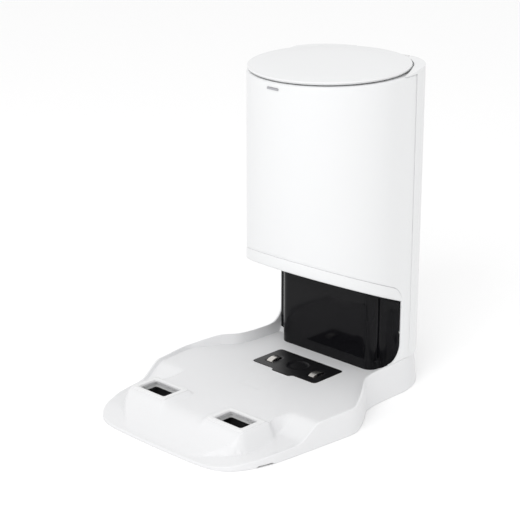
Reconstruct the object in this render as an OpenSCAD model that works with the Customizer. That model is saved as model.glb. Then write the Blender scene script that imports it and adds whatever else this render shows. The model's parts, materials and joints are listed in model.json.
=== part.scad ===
// Self-emptying charging dock for a robot vacuum cleaner.
// A flat base with a ramp, two suction ports and a charging plate carries a round tower,
// which holds the fan and a dust bag under a hinged lid.
// Origin: centre of the footprint, on the floor. +X to the dock's right side seen from
// behind the ramp, +Y towards the wall behind the dock, +Z up. Millimetres.

/* [Overall] */
// Width of the base at its widest
base_w = 302; // [280:1:370]
// Length of the base from the ramp's front edge to the rear
base_l = 422; // [410:1:520]
// Height of the closed dock
dock_h = 430; // [400:1:520]

/* [Base] */
// Height of the tray floor
floor_z = 30; // [29:0.5:36]
// Height of the rim where the tower's foot begins
foot_z = 44; // [42:0.5:52]
// Radius of the base's rear corners
foot_corner_r = 85; // [76:1:90]
// Height of the rim beside the tray
rim_z = 33.5; // [32:0.5:40]
// Height of the low wheel tracks beside the ports
track_z = 12; // [10:0.5:14]
// Wall of the base cover
base_wall = 3; // [2:0.25:4]
// Thickness of the bottom plate
plate_t = 3; // [2:0.25:3.5]
// Height of the rubber feet
foot_pad_h = 2.5; // [2:0.25:3]
// Radius of a rubber foot
foot_pad_r = 9; // [6:0.5:12]
// Shank radius of a self-tapping screw
screw_r = 1.5; // [1.2:0.1:2]
// Head radius of a self-tapping screw
screw_head_r = 3.4; // [3:0.1:4]

/* [Suction ports] */
// Distance of a port's centre from the middle
port_x = 68; // [62:0.5:70]
// Distance of the ports behind the front edge
port_back = 74; // [68:0.5:84]
// Opening of a port, across
port_w = 47; // [40:0.5:50]
// Opening of a port, front to back
port_l = 30; // [26:0.5:32]
// Width of the frame's flange around the opening
port_flange = 7; // [5:0.5:8]
// Height of the frame above the platform
port_frame_h = 5.5; // [4:0.5:7]

/* [Charging plate] */
// Width of the charging plate
charge_w = 112.6; // [100:0.2:120]
// Length of the charging plate
charge_l = 56.8; // [50:0.2:60]
// Distance of the plate's front edge behind the front edge of the base
charge_back = 228.6; // [224:0.2:232]
// Thickness of the charging plate
charge_t = 4; // [3:0.25:5]
// Distance of a contact from the middle
contact_x = 37.5; // [34:0.5:42]
// Length of a contact leaf
contact_l = 20; // [16:0.5:22]
// Width of a contact leaf
contact_w = 9; // [7:0.5:11]
// Travel of a contact
contact_travel = 2.5; // [1.5:0.1:3]

/* [Tower] */
// Radius of the tower's round front
tower_r = 107.5; // [100:0.5:110]
// Distance of the round front's axis behind the middle of the base
tower_y = 104; // [98:0.5:106]
// Radius of the tower's rear corners
corner_r = 75; // [60:1:80]
// Distance between the tower's back and the back of the base
rear_gap = 1.5; // [1:0.5:4]
// Wall of the tower shell
shell_wall = 2.5; // [2:0.25:3]
// Place of the seam between tower shell and rear cover, behind the tower's axis
seam_back = 42; // [38:1:46]
// Height of the head's underside at its front
chin_z = 178.6; // [170:0.2:190]
// Fall of the head's underside towards the back, per mm
chin_fall = 0.4; // [0.3:0.01:0.45]
// Height of the chin panel's band
chin_band = 16.9; // [12:0.1:20]

/* [Sensor window] */
// Distance of the window's face in front of the tower's axis
window_front = 3.5; // [2:0.5:8]
// Half width of the window's front part
window_x = 80; // [74:0.5:86]
// Corner radius of the window
window_r = 12; // [10:0.5:14]
// Thickness of the window
window_t = 2.5; // [2:0.25:3]

/* [Lid] */
// Radius of the lid
lid_r = 104.5; // [98:0.5:106]
// Thickness of the lid's outer disc
lid_t = 5; // [4:0.25:6]
// Slope of the lid down to the front, in degrees
lid_tilt = 1.4; // [0:0.1:2]
// Gap between the lid and the tower's top edge
lid_gap = 1.2; // [1:0.1:2]
// Radius of a hinge pin
hinge_pin_r = 1.6; // [1.2:0.1:1.9]
// Radius of a hinge knuckle
knuckle_r = 3.2; // [3:0.1:3.5]
// Distance of a hinge from the middle
hinge_x = 34; // [33:0.5:36]

/* [Bag chamber] */
// Outer radius of the bag chamber
chamber_r = 80; // [76:0.5:81]
// Height of the chamber's floor
chamber_z = 250; // [248:1:262]
// Wall of the chamber and of the ducts
duct_wall = 2; // [1.5:0.25:2.5]
// Height of the bag port's centre
bag_port_z = 330; // [320:1:340]
// Radius of the opening in the bag's collar
bag_port_r = 15; // [12:0.5:16]
// Radius of the full dust bag
bag_r = 62; // [54:1:64]

/* [Fan] */
// Radius of the fan motor
motor_r = 30; // [26:0.5:32]
// Height of the fan motor
motor_h = 33; // [28:1:36]
// Radius of the impeller
impeller_r = 38; // [34:0.5:39]
// Radius of the motor shaft
shaft_r = 3; // [2:0.1:4]
// Number of impeller blades
blades = 11; // [7:1:15]

/* [Fits] */
// Gap between covers that meet
cover_gap = 0.2; // [0.1:0.05:0.4]
// Gap round a part that drops into a cut-out
drop_gap = 0.3; // [0.2:0.05:0.5]
// Radial clearance of a pin or shaft that turns or slides
running_gap = 0.05; // [0.02:0.01:0.1]

/* [Hidden] */
$fn = 64;
eps = 0.01;

half_w = base_w / 2;
front_y = -base_l / 2;
rear_y = base_l / 2;
foot_x = tower_r + 5;                       // half width of the base under the tower
tower_rear = rear_y - rear_gap;
seam_y = tower_y + seam_back;
tower_front = tower_y - tower_r;
plate_top = foot_pad_h + plate_t;
cover_under = floor_z - base_wall;
port_y = front_y + port_back;
platform_x = port_x + port_w / 2 + port_flange + 2;
frame_w = port_w + 2 * port_flange;
frame_l = port_l + 2 * (port_flange - 0.5);
throat_wall = 2.5;
charge_y = front_y + charge_back + charge_l / 2;
charge_top = floor_z + 0.6;
duct_bottom = plate_top;
duct_top = cover_under - 1;                 // top of the duct cover
duct_rim = duct_top - duct_wall;            // top of the duct tray's walls
channel_x = 20;
riser = [-62, -38, tower_y + 65.2, tower_rear - 13];
cross_front = riser[2] - 2;
cross_rear = riser[3] + 1;
window_y = tower_y - window_front;
window_flare_x = tower_r - 3 - window_x;
window_flare_y = 12;
window_back = window_y + window_r + window_flare_y + window_t;
pillar_y = window_back + 0.5;
chamber_y = tower_y - 6;
lid_y = tower_y - 2.5;
hinge_y = tower_rear - 2;
lid_under = 1;                              // lid disc's underside above the hinge axis
hinge_z = dock_h - (lid_under + lid_t) * cos(lid_tilt) - (lid_y + lid_r - hinge_y) * sin(lid_tilt);
shell_top = lid_under - lid_gap;            // tower's top edge above the hinge axis
bay_x = hinge_x + 12;                       // half width of the bay where the hinges stand
bay_y = chamber_y + chamber_r + 2;
bay_floor = hinge_z - knuckle_r - 1.4;
bar_z = hinge_z - 14.4;                     // underside of the indicator's light bar
liner_r = chamber_r + 10;
bag_bottom = chamber_z + 12;
bag_top = hinge_z - 34;
fan_top = chamber_z - 16;
housing_r = impeller_r + 6;
housing_z = fan_top - 28;
cup_r = motor_r + 8;
cup_z = housing_z - motor_h - 5;
screw_places = [for (s = [-1, 1]) each [
    [s * 60, front_y + 40], [s * (half_w - 26), front_y + 171],
    [s * (foot_x - 15), tower_y - 24], [s * 92, tower_y + 44]]];
foot_places = [for (s = [-1, 1]) each [
    [s * 85, front_y + 36], [s * (half_w - 30), front_y + 148], [s * 78, tower_rear - 34]]];
rear_screw_places = [for (s = [-1, 1], z = [chamber_z - 190, chamber_z - 40, chamber_z + 110])
    [s * (tower_r - 25.5), z]];
screw_seat = seam_y + 10;

// ---- shapes that several sub-parts share ----

// A smooth line through the points p, n steps between neighbours.
function smooth_line(p, n) = [for (i = [0 : len(p) - 2], k = [0 : n - 1])
    let (a = p[max(i - 1, 0)], b = p[i], c = p[i + 1], d = p[min(i + 2, len(p) - 1)], t = k / n)
    0.5 * (2 * b + (c - a) * t + (2 * a - 5 * b + 4 * c - d) * t * t
        + (3 * b - a - 3 * c + d) * t * t * t)];

// Right half of the footprint, from the middle of the front edge to the tower's foot.
side_points = [
    [0, front_y], [half_w - 91, front_y + 1.2], [half_w - 59, front_y + 5],
    [half_w - 38, front_y + 16], [half_w - 24, front_y + 36], [half_w - 14, front_y + 66],
    [half_w - 8.5, front_y + 106], [half_w - 4, front_y + 151], [half_w, front_y + 195],
    [half_w - 5.5, front_y + 215], [half_w - 20, front_y + 241],
    [foot_x + 5, front_y + 261], [foot_x + 1, front_y + 279], [foot_x, front_y + 301]];
right_half = concat(smooth_line(side_points, 4), [side_points[len(side_points) - 1]],
    [for (a = [0 : 7.5 : 90]) [foot_x - foot_corner_r + foot_corner_r * cos(a),
        rear_y - foot_corner_r + foot_corner_r * sin(a)]]);
footprint = concat(right_half, [for (i = [len(right_half) - 1 : -1 : 1])
    [-right_half[i][0], right_half[i][1]]]);

module footprint_prism(inset, z0, z1)
    translate([0, 0, z0]) linear_extrude(z1 - z0) offset(delta = -inset) polygon(footprint);

// Plan of the tower, moved inwards by inset.
function tower_plan(inset) = concat(
    [for (a = [180 : 5 : 360]) [(tower_r - inset) * cos(a), tower_y + (tower_r - inset) * sin(a)]],
    [for (s = [1, -1], k = [0 : 7.5 : 90]) let (a = s > 0 ? k : 90 + k)
        [s * (tower_r - corner_r) + (corner_r - inset) * cos(a),
            tower_rear - corner_r + (corner_r - inset) * sin(a)]]);

module tower_prism(inset, z0, z1)
    translate([0, 0, z0]) linear_extrude(z1 - z0) polygon(tower_plan(inset));

// Everything between two heights and two places front to back.
module slab(y0, y1, z0, z1, x = 300)
    translate([-x, y0, z0]) cube([2 * x, y1 - y0, z1 - z0]);

// A profile in the YZ plane, extruded from x0 to x1.
module yz_prism(x0, x1, points)
    translate([x0, 0, 0]) rotate([90, 0, 90]) linear_extrude(x1 - x0) polygon(points);

module box(x0, x1, y0, y1, z0, z1) translate([x0, y0, z0]) cube([x1 - x0, y1 - y0, z1 - z0]);

// A round bar along Y.
module y_bar(x, z, y0, y1, r) translate([x, y0, z]) rotate([-90, 0, 0]) cylinder(r = r, h = y1 - y0);

// Parts of the lid are drawn round the hinge axis and laid on the lid's slope.
module on_lid_slope() translate([0, hinge_y, hinge_z]) rotate([lid_tilt, 0, 0]) children();

// All that is higher than z above the hinge axis, measured square to the lid.
module above_slope(z) on_lid_slope() translate([-300, -400, z]) cube([600, 800, 200]);

// Height of the slanted underside of the head at y.
function chin_at(y) = chin_z - chin_fall * (y - tower_front);

// All that is below the slanted plane raised by rise, from the front to y1.
module below_chin(rise, y1) yz_prism(-300, 300, [[tower_front - 60, 0], [y1, 0],
    [y1, chin_at(y1) + rise], [tower_front - 60, chin_at(tower_front - 60) + rise]]);

// ---- base ----

// Space under the tray floor and the ramp, lowered by drop.
module tray_block(drop) {
    ramp = [[front_y - 5, -5], [front_y - 5, 3.5 - drop], [front_y + 8, 5 - drop],
        [front_y + 24, 12 - drop], [front_y + 38, 22 - drop], [front_y + 48, floor_z - 2 - drop],
        [front_y + 56, floor_z - drop], [rear_y + 5, floor_z - drop], [rear_y + 5, -5]];
    track = [[front_y - 5, -5], [front_y - 5, 3.5 - drop], [front_y + 10, 5 - drop],
        [front_y + 36, track_z - 2 - drop], [front_y + 118, track_z - drop],
        [front_y + 142, floor_z - drop], [rear_y + 5, floor_z - drop], [rear_y + 5, -5]];
    yz_prism(-94 + drop, 94 - drop, ramp);
    intersection() {
        yz_prism(-platform_x + drop, platform_x - drop, ramp);
        slab(front_y - 5, front_y + 100 - drop, -5, 100);
    }
    yz_prism(-half_w - 5, half_w + 5, track);
}

// Height of the outer rim along the base.
rim_line = [[front_y - 5, -5], [front_y - 5, 3.5], [front_y + 20, 6], [front_y + 60, track_z + 1],
    [front_y + 112, track_z + 3], [front_y + 138, rim_z], [front_y + 205, rim_z + 1.5],
    [front_y + 242, foot_z], [rear_y + 5, foot_z], [rear_y + 5, -5]];

module base_cover() color("white") difference() {
    union() {
        difference() {
            union() {
                intersection() {
                    footprint_prism(0, 1.2, foot_z);
                    tray_block(0);
                }
                intersection() {
                    difference() {
                        footprint_prism(0, 1.2, foot_z);
                        footprint_prism(base_wall + 1, 0, foot_z + 1);
                    }
                    yz_prism(-half_w - 5, half_w + 5, rim_line);
                }
                difference() {
                    intersection() {
                        footprint_prism(0, foot_z - 4, foot_z);
                        slab(pillar_y, rear_y + 1, 0, foot_z);
                    }
                    tower_prism(4, foot_z - 5, foot_z + 1);
                }
            }
            intersection() {
                footprint_prism(base_wall, -1, foot_z);
                tray_block(base_wall);
            }
        }
        intersection() {
            for (p = screw_places) translate([p[0], p[1], plate_top])
                cylinder(r = 4.5, h = foot_z);
            tray_block(base_wall / 2);
        }
    }
    for (p = screw_places) translate([p[0], p[1], -1])
        cylinder(r = screw_r, h = plate_top + 7 + 1);
    for (s = [-1, 1]) port_cut(s);
    charging_cut();
    box(riser[0] - drop_gap, riser[1] + drop_gap, riser[2] - drop_gap, riser[3] + drop_gap,
        duct_top, floor_z + 1);
    for (s = [-1, 1]) box(s * 118 - 14, s * 118 + 14, front_y + 22, front_y + 46, -1, 3.4);
}

module port_cut(side) {
    half_cut_w = port_w / 2 + throat_wall + drop_gap;
    half_cut_l = port_l / 2 + throat_wall + drop_gap;
    box(side * port_x - half_cut_w, side * port_x + half_cut_w,
        port_y - half_cut_l, port_y + half_cut_l, -1, foot_z);
}

module charging_cut() {
    box(-charge_w / 2 - drop_gap, charge_w / 2 + drop_gap, charge_y - charge_l / 2 - drop_gap,
        charge_y + charge_l / 2 + drop_gap, duct_top, foot_z);
    box(-16.5 - drop_gap, 16.5 + drop_gap, charge_y - charge_l / 2 - 5 - drop_gap,
        charge_y - charge_l / 2 + 1, duct_top, foot_z);
}

module base_plate() color("gainsboro") difference() {
    intersection() {
        footprint_prism(base_wall + 1 + drop_gap, foot_pad_h, plate_top);
        slab(front_y + 32, rear_y, 0, foot_z);
    }
    for (p = screw_places) translate([p[0], p[1], 0]) cylinder(r = screw_r + 0.4, h = plate_top + 1);
}

module rubber_feet() color("dimgray")
    for (p = foot_places) translate([p[0], p[1], 0]) cylinder(r = foot_pad_r, h = foot_pad_h);

module base_screws() color("silver") for (p = screw_places) translate([p[0], p[1], 0]) {
    translate([0, 0, foot_pad_h - 1.8]) cylinder(r = screw_head_r, h = 1.8);
    translate([0, 0, foot_pad_h - eps]) cylinder(r = screw_r, h = plate_top - foot_pad_h + 6);
}

module port_frame(side) color("whitesmoke") difference() {
    union() {
        translate([side * port_x, port_y, floor_z]) rounded_box(frame_w, frame_l, port_frame_h, 3);
        box(side * port_x - port_w / 2 - throat_wall, side * port_x + port_w / 2 + throat_wall,
            port_y - port_l / 2 - throat_wall, port_y + port_l / 2 + throat_wall, duct_top, floor_z + 1);
    }
    translate([side * port_x, port_y, 0]) rounded_box(port_w, port_l, foot_z, 3);
}

// A box on the XY plane with upright edges rounded to r.
module rounded_box(w, l, h, r) {
    translate([-w / 2 + r, -l / 2, 0]) cube([w - 2 * r, l, h]);
    translate([-w / 2, -l / 2 + r, 0]) cube([w, l - 2 * r, h]);
    for (x = [-1, 1], y = [-1, 1]) translate([x * (w / 2 - r), y * (l / 2 - r), 0])
        cylinder(r = r, h = h, $fn = 32);
}

module port_seal(side) color("darkgray") translate([side * port_x, port_y, floor_z - 1]) difference() {
    rounded_box(port_w, port_l, 3, 3);
    translate([0, 0, -1]) rounded_box(port_w - 5, port_l - 5, 5, 2);
}

module duct_outline(wall) {
    x = platform_x - 6;
    box(-x + wall, x - wall, port_y - 19 + wall, port_y + 19 - wall, 0, 100);
    box(-channel_x + wall, channel_x - wall, port_y, cross_rear - wall, 0, 100);
    box(riser[0] - 2 + wall, channel_x - wall, cross_front + wall, cross_rear - wall, 0, 100);
}

module duct_tray() color("lightgray") difference() {
    intersection() {
        duct_outline(0);
        slab(front_y, rear_y, duct_bottom, duct_rim);
    }
    intersection() {
        duct_outline(duct_wall);
        slab(front_y, rear_y, duct_bottom + duct_wall, duct_rim + 1);
    }
}

module duct_cover() color("lightgray") difference() {
    intersection() {
        duct_outline(0);
        slab(front_y, rear_y, duct_rim, duct_top);
    }
    for (s = [-1, 1]) translate([s * port_x, port_y, 0]) rounded_box(port_w, port_l, foot_z, 3);
    box(riser[0] + duct_wall, riser[1] - duct_wall, riser[2] + duct_wall, riser[3] - duct_wall, 0, 100);
}

// ---- charging plate and contacts ----

module charging_plate() color("black") difference() {
    union() {
        translate([0, charge_y, charge_top - charge_t]) rounded_box(charge_w, charge_l, charge_t, 5);
        box(-16.5, 16.5, charge_y - charge_l / 2 - 5, charge_y, charge_top - charge_t, charge_top);
    }
    translate([0, charge_y + 2, charge_top - 1.2]) cylinder(r = 15, h = 5);
    for (s = [-1, 1]) contact_slot(s);
}

contact_y = charge_y - charge_l / 2 + 23.4;
contact_rise = 3;                           // leaf's crown above the charging plate
leaf_curve = (contact_l * contact_l / 4 + contact_rise * contact_rise) / (2 * contact_rise);

module contact_slot(side) box(side * contact_x - contact_w / 2 - 1, side * contact_x + contact_w / 2 + 1,
    contact_y - contact_l / 2 - 1.5, contact_y + contact_l / 2 + 1.5, 0, foot_z);

module contact_bracket(side) color("black") difference() {
    box(side * contact_x - 11, side * contact_x + 11, contact_y - 15, contact_y + 15,
        plate_top, charge_top - charge_t);
    box(side * contact_x - contact_w / 2 - 1, side * contact_x + contact_w / 2 + 1,
        contact_y - contact_l / 2 - 1.5, contact_y + contact_l / 2 + 1.5,
        charge_top - charge_t - contact_travel - 2, foot_z);
    translate([side * contact_x, contact_y, plate_top + 2]) cylinder(r = 3.6, h = foot_z);
}

module contact_leaf(side) color("silver") translate([side * contact_x, contact_y, charge_top]) {
    intersection() {
        translate([-contact_w / 2, 0, contact_rise - leaf_curve]) rotate([0, 90, 0]) difference() {
            cylinder(r = leaf_curve, h = contact_w);
            translate([0, 0, -1]) cylinder(r = leaf_curve - 0.8, h = contact_w + 2);
        }
        translate([-20, -contact_l / 2, -1]) cube([40, contact_l, 20]);
    }
    translate([0, 0, -charge_t - 1.2]) cylinder(r = 2, h = charge_t + contact_rise + 0.6);
    translate([0, 0, -charge_t - 1.2]) cylinder(r = 3.3, h = 1.2);
}

spring_top = charge_top - charge_t - 1.2;
spring_bottom = plate_top + 2;
spring_wire = 0.5;

spring_turns = 6;
spring_r = 2.7;
spring_pitch = (spring_top - spring_bottom - 2 * spring_wire) / spring_turns;

module contact_spring(side) color("silver")
    translate([side * contact_x, contact_y, spring_bottom + spring_wire])
        for (k = [0 : spring_turns]) translate([0, 0, k * spring_pitch]) {
            rotate_extrude($fn = 32) translate([spring_r, 0]) circle(r = spring_wire, $fn = 16);
            if (k < spring_turns) translate([k % 2 == 0 ? spring_r : -spring_r, 0, 0])
                cylinder(r = spring_wire * 0.8, h = spring_pitch);
        }

// ---- tower ----

module tower_shell() color("white") difference() {
    union() {
        intersection() {
            difference() {
                tower_prism(0, foot_z, dock_h + 10);
                tower_prism(shell_wall, foot_z - 1, dock_h + 11);
            }
            slab(tower_front - 1, seam_y, 0, dock_h + 20);
        }
        for (p = rear_screw_places) {
            y_bar(p[0], p[1], seam_y - 11, seam_y + 3.8, 4.5);
            side = sign(p[0]);
            box(min(p[0], side * (tower_r - 1)), max(p[0], side * (tower_r - 1)), seam_y - 11, seam_y - 2,
                p[1] - 1.5, p[1] + 1.5);
        }
    }
    for (p = rear_screw_places) y_bar(p[0], p[1], seam_y - 9, seam_y + 5, screw_r);
    below_chin(chin_band + cover_gap, pillar_y);
    above_slope(shell_top - cover_gap);
    indicator_slot(0.15);
}

module indicator_slot(gap) box(-9.2 - gap, 9.2 + gap, tower_front - 1, tower_front + shell_wall + 2,
    bar_z - gap, bar_z + 2.4 + gap);

module rear_cover() color("white") difference() {
    union() {
        intersection() {
            difference() {
                tower_prism(0, foot_z, dock_h + 10);
                tower_prism(shell_wall, foot_z - 1, dock_h + 11);
            }
            slab(seam_y + cover_gap, tower_rear + 1, 0, dock_h + 20);
        }
        intersection() {
            tower_prism(0, foot_z, dock_h);
            union() {
                for (p = rear_screw_places) y_bar(p[0], p[1], seam_y + 4, tower_rear, 6.5);
                for (x = [-22, 54], z = [89, 145]) y_bar(x, z, power_y, tower_rear - 1, 3);
            }
        }
    }
    above_slope(shell_top - cover_gap);
    box(-bay_x, bay_x, tower_rear - 10, tower_rear + 1, bay_floor, dock_h + 20);
    box(-32, 32, tower_rear - 10, tower_rear + 1, cup_z - 2, cup_z + 62);
    box(inlet_x - 13 - drop_gap, inlet_x + 13 + drop_gap, 0, tower_rear + 1,
        inlet_z - 10 - drop_gap, inlet_z + 10 + drop_gap);
    for (p = rear_screw_places) {
        y_bar(p[0], p[1], seam_y, tower_rear + 1, screw_r + 0.4);
        y_bar(p[0], p[1], screw_seat, tower_rear + 1, 5);
    }
}

module rear_screws() color("silver") for (p = rear_screw_places) {
    y_bar(p[0], p[1], seam_y - 8, screw_seat + eps, screw_r);
    y_bar(p[0], p[1], screw_seat, screw_seat + 1.8, screw_head_r);
}

module chin_panel() color("white") {
    difference() {
        intersection() {
            tower_prism(0, 0, dock_h);
            below_chin(chin_band, pillar_y - cover_gap);
        }
        below_chin(0, pillar_y + 1);
        difference() {
            tower_prism(shell_wall, 0, dock_h);
            below_chin(shell_wall, pillar_y + 1);
        }
    }
    for (s = [-1, 1]) box(s * 60 - 6, s * 60 + 6, pillar_y - 6, pillar_y + 4,
        chin_at(pillar_y) + 2, chin_at(pillar_y) + 8);
}

module inner_frame() color("lightgray") {
    difference() {
        box(-95, 95, pillar_y + 4, pillar_y + 7, floor_z, chin_at(pillar_y) + 20);
        box(-40, -20, pillar_y, pillar_y + 10, 60, 100);
    }
    for (x = [-34, 34], z = [70, 100]) y_bar(x, z, window_y + 9.6, pillar_y + 4, 3);
    for (x = [-24, 54], z = [62, 136]) y_bar(x, z, pillar_y + 7, pillar_y + 12, 3);
}

// Plan of the window's outer face, moved inwards by t: flat front, round corners, flared ends.
function window_half(t) = concat(
    [for (a = [270 : 15 : 360]) [window_x - window_r + (window_r - t) * cos(a),
        window_y + window_r + (window_r - t) * sin(a)]],
    [for (a = [15 : 15 : 90]) [window_x - t + (window_flare_x + t) * (1 - cos(a)),
        window_y + window_r + (window_flare_y + t) * sin(a)]]);
function reversed(p) = [for (i = [len(p) - 1 : -1 : 0]) p[i]];
function mirrored(p) = [for (q = p) [-q[0], q[1]]];

module sensor_window() color("black") intersection() {
    translate([0, 0, floor_z]) linear_extrude(chin_z) polygon(concat(
        window_half(0), reversed(window_half(window_t)),
        mirrored(window_half(window_t)), reversed(mirrored(window_half(0)))));
    below_chin(-drop_gap, rear_y);
}

module sensor_board() color("darkgreen")
    box(-40, 40, window_y + 8, window_y + 9.6, 62, 108);

module sensor_leds() color("dimgray") for (x = [-30, -15, 0, 15, 30])
    y_bar(x, 85, window_y + 4, window_y + 8, 2.5);

module top_deck() color("white") difference() {
    union() {
        intersection() {
            tower_prism(shell_wall + cover_gap, 0, dock_h);
            union() {
                deck_slice(shell_top - 2.5, shell_top);
                box(-bay_x - 2, bay_x + 2, chamber_y + chamber_r + 6, tower_rear,
                    bay_floor - 2.4, bay_floor + 2);
            }
        }
        intersection() {
            translate([0, chamber_y, 0]) cylinder(r = liner_r + 3.5, h = dock_h);
            deck_slice(-10, shell_top - 1);
        }
        difference() {
            intersection() {
                tower_prism(0, 0, dock_h - 2.5);
                above_slope(shell_top - cover_gap);
            }
            below_horn();
            translate([0, lid_y, 0]) cylinder(r = lid_r + 2, h = dock_h + 20);
        }
    }
    translate([0, chamber_y, 0]) cylinder(r = chamber_r + 2, h = dock_h + 20);
    intersection() {
        translate([0, chamber_y, 0]) cylinder(r = liner_r + 1.5, h = dock_h + 20);
        above_slope(-7.5);
    }
    box(-bay_x, bay_x, bay_y, tower_rear + 1, bay_floor, dock_h + 20);
}

module deck_slice(z0, z1) difference() {
    above_slope(z0);
    above_slope(z1);
}

// All that lies in front of the raised corners of the deck, or between them.
module below_horn() {
    yz_prism(-300, 300, [[tower_front - 5, 0], [tower_front - 5, dock_h + 20], [tower_y + 59, dock_h + 20],
        [tower_y + 59, dock_h - 0.8], [tower_y + 19, hinge_z + shell_top - 1.5], [tower_y + 19, 0]]);
    box(-bay_x - 1, bay_x + 1, tower_front, tower_rear + 10, 0, dock_h + 20);
}

// ---- parts drawn round the hinge axis ----

module lid_top() color("white") on_lid_slope() difference() {
    translate([0, lid_y - hinge_y, lid_under]) rotate_extrude($fn = 128) polygon([[0, 0], [lid_r - 3, 0],
        [lid_r, 2.5], [lid_r, lid_t - 0.8], [lid_r - 0.8, lid_t], [0, lid_t]]);
    translate([0, chamber_y - hinge_y, 0]) lid_screw_holes(screw_r, lid_under + 2.6);
}

module lid_liner() color("gainsboro") on_lid_slope() translate([0, chamber_y - hinge_y, 0]) difference() {
    translate([0, 0, lid_under - 3]) cylinder(r = liner_r, h = 3, $fn = 96);
    lid_screw_holes(screw_r + 0.4, lid_under + 1);
}

module lid_screw_holes(r, top) for (a = [45 : 90 : 315]) rotate([0, 0, a])
    translate([chamber_r - 16, 0, -5]) cylinder(r = r, h = top + 5);

module lid_gasket() color("dimgray") on_lid_slope() translate([0, chamber_y - hinge_y, lid_under - 5.7])
    difference() {
        cylinder(r = chamber_r + 4, h = 2.7, $fn = 96);
        translate([0, 0, -1]) cylinder(r = chamber_r - 1, h = 5, $fn = 96);
    }

module lid_screws() color("silver") on_lid_slope() translate([0, chamber_y - hinge_y, 0])
    for (a = [45 : 90 : 315]) rotate([0, 0, a]) translate([chamber_r - 16, 0, 0]) {
        translate([0, 0, lid_under - 4.8]) cylinder(r = screw_head_r, h = 1.8);
        translate([0, 0, lid_under - 3.1]) cylinder(r = screw_r, h = 5.6);
    }

module lid_hinge_arms() color("gainsboro") on_lid_slope() for (s = [-1, 1])
    translate([s * hinge_x - 4, 0, 0]) difference() {
        union() {
            rotate([0, 90, 0]) cylinder(r = knuckle_r, h = 8);
            translate([0, -24, -2.8]) cube([8, 24, lid_under + 2.8]);
        }
        translate([-1, 0, 0]) rotate([0, 90, 0]) cylinder(r = hinge_pin_r + running_gap, h = 10);
        translate([4 - s * hinge_x, lid_y - hinge_y, lid_under]) cylinder(r = lid_r + 0.2, h = 20, $fn = 128);
    }

module hinge_brackets() color("gray") for (s = [-1, 1], e = [-1, 1])
    translate([s * hinge_x + e * 6.6 - 2, hinge_y, hinge_z]) difference() {
        union() {
            rotate([0, 90, 0]) cylinder(r = knuckle_r, h = 4);
            translate([0, -knuckle_r, bay_floor - hinge_z])
                cube([4, 2 * knuckle_r - 3.4, hinge_z - bay_floor]);
        }
        translate([-1, 0, 0]) rotate([0, 90, 0]) cylinder(r = hinge_pin_r, h = 6);
    }

module hinge_pins() color("silver") for (s = [-1, 1])
    translate([s * hinge_x - 8.6, hinge_y, hinge_z]) rotate([0, 90, 0]) cylinder(r = hinge_pin_r, h = 17.2);

// ---- bag chamber ----

module bag_chamber() color("gainsboro") difference() {
    union() {
        difference() {
            translate([0, chamber_y, chamber_z]) cylinder(r = chamber_r, h = dock_h - chamber_z);
            translate([0, chamber_y, chamber_z + 3]) cylinder(r = chamber_r - duct_wall, h = dock_h);
            above_slope(-5);
        }
        intersection() {
            translate([0, chamber_y, 0]) difference() {
                cylinder(r = liner_r + 1, h = dock_h);
                translate([0, 0, -1]) cylinder(r = chamber_r - duct_wall, h = dock_h + 2);
            }
            deck_slice(-7.5, -5);
        }
    }
    y_bar(0, bag_port_z, chamber_y + 20, tower_rear, bag_port_r + duct_wall + drop_gap);
    for (k = [-2 : 2]) box(k * 11 - 3.5, k * 11 + 3.5, chamber_y - sqrt(900 - k * k * 121),
        chamber_y + sqrt(900 - k * k * 121), chamber_z - 1, chamber_z + 4);
}

holder_y = chamber_y + chamber_r - 16;

module bag_holder() color("lightgray") difference() {
    intersection() {
        box(-33, 33, holder_y, holder_y + 10.5, bag_port_z - 36, bag_port_z + 36);
        translate([0, chamber_y, 0]) cylinder(r = chamber_r - duct_wall, h = dock_h);
    }
    box(-28 - drop_gap, 28 + drop_gap, holder_y + 2.7, holder_y + 6.3, bag_port_z - 30 - drop_gap, dock_h);
    box(-24, 24, holder_y - 1, holder_y + 4, bag_port_z - 26, dock_h);
    y_bar(0, bag_port_z, holder_y + 3, holder_y + 20, bag_port_r + 7 + drop_gap);
}

module bag_collar() color("tan") difference() {
    box(-28, 28, holder_y + 3, holder_y + 6, bag_port_z - 30, bag_port_z + 30);
    y_bar(0, bag_port_z, holder_y, holder_y + 9, bag_port_r);
}

module dust_bag() color("ivory") {
    translate([0, chamber_y, bag_bottom]) rotate_extrude() polygon(concat([[0, 0]],
        [for (a = [-90 : 15 : 0]) [bag_r - 20 + 20 * cos(a), 20 + 20 * sin(a)]],
        [for (a = [0 : 15 : 90]) [bag_r - 20 + 20 * cos(a), bag_top - bag_bottom - 20 + 20 * sin(a)]],
        [[0, bag_top - bag_bottom]]));
    y_bar(0, bag_port_z, chamber_y + bag_r - 4, holder_y + 3, bag_port_r);
}

module bag_port_seal() color("dimgray") difference() {
    y_bar(0, bag_port_z, holder_y + 6.3, holder_y + 10, bag_port_r + 6.5);
    y_bar(0, bag_port_z, holder_y, holder_y + 12, bag_port_r + duct_wall);
}

module riser_duct() color("lightgray") difference() {
    box(riser[0], riser[1], riser[2], riser[3], duct_top, bag_port_z + 18);
    box(riser[0] + duct_wall, riser[1] - duct_wall, riser[2] + duct_wall, riser[3] - duct_wall,
        duct_top - 1, bag_port_z + 16);
    box(riser[1] - 5, riser[1] + 1, elbow_y + duct_wall, riser[3] - duct_wall,
        bag_port_z - 16, bag_port_z + 16);
}

elbow_y = chamber_y + chamber_r + 2;

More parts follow.
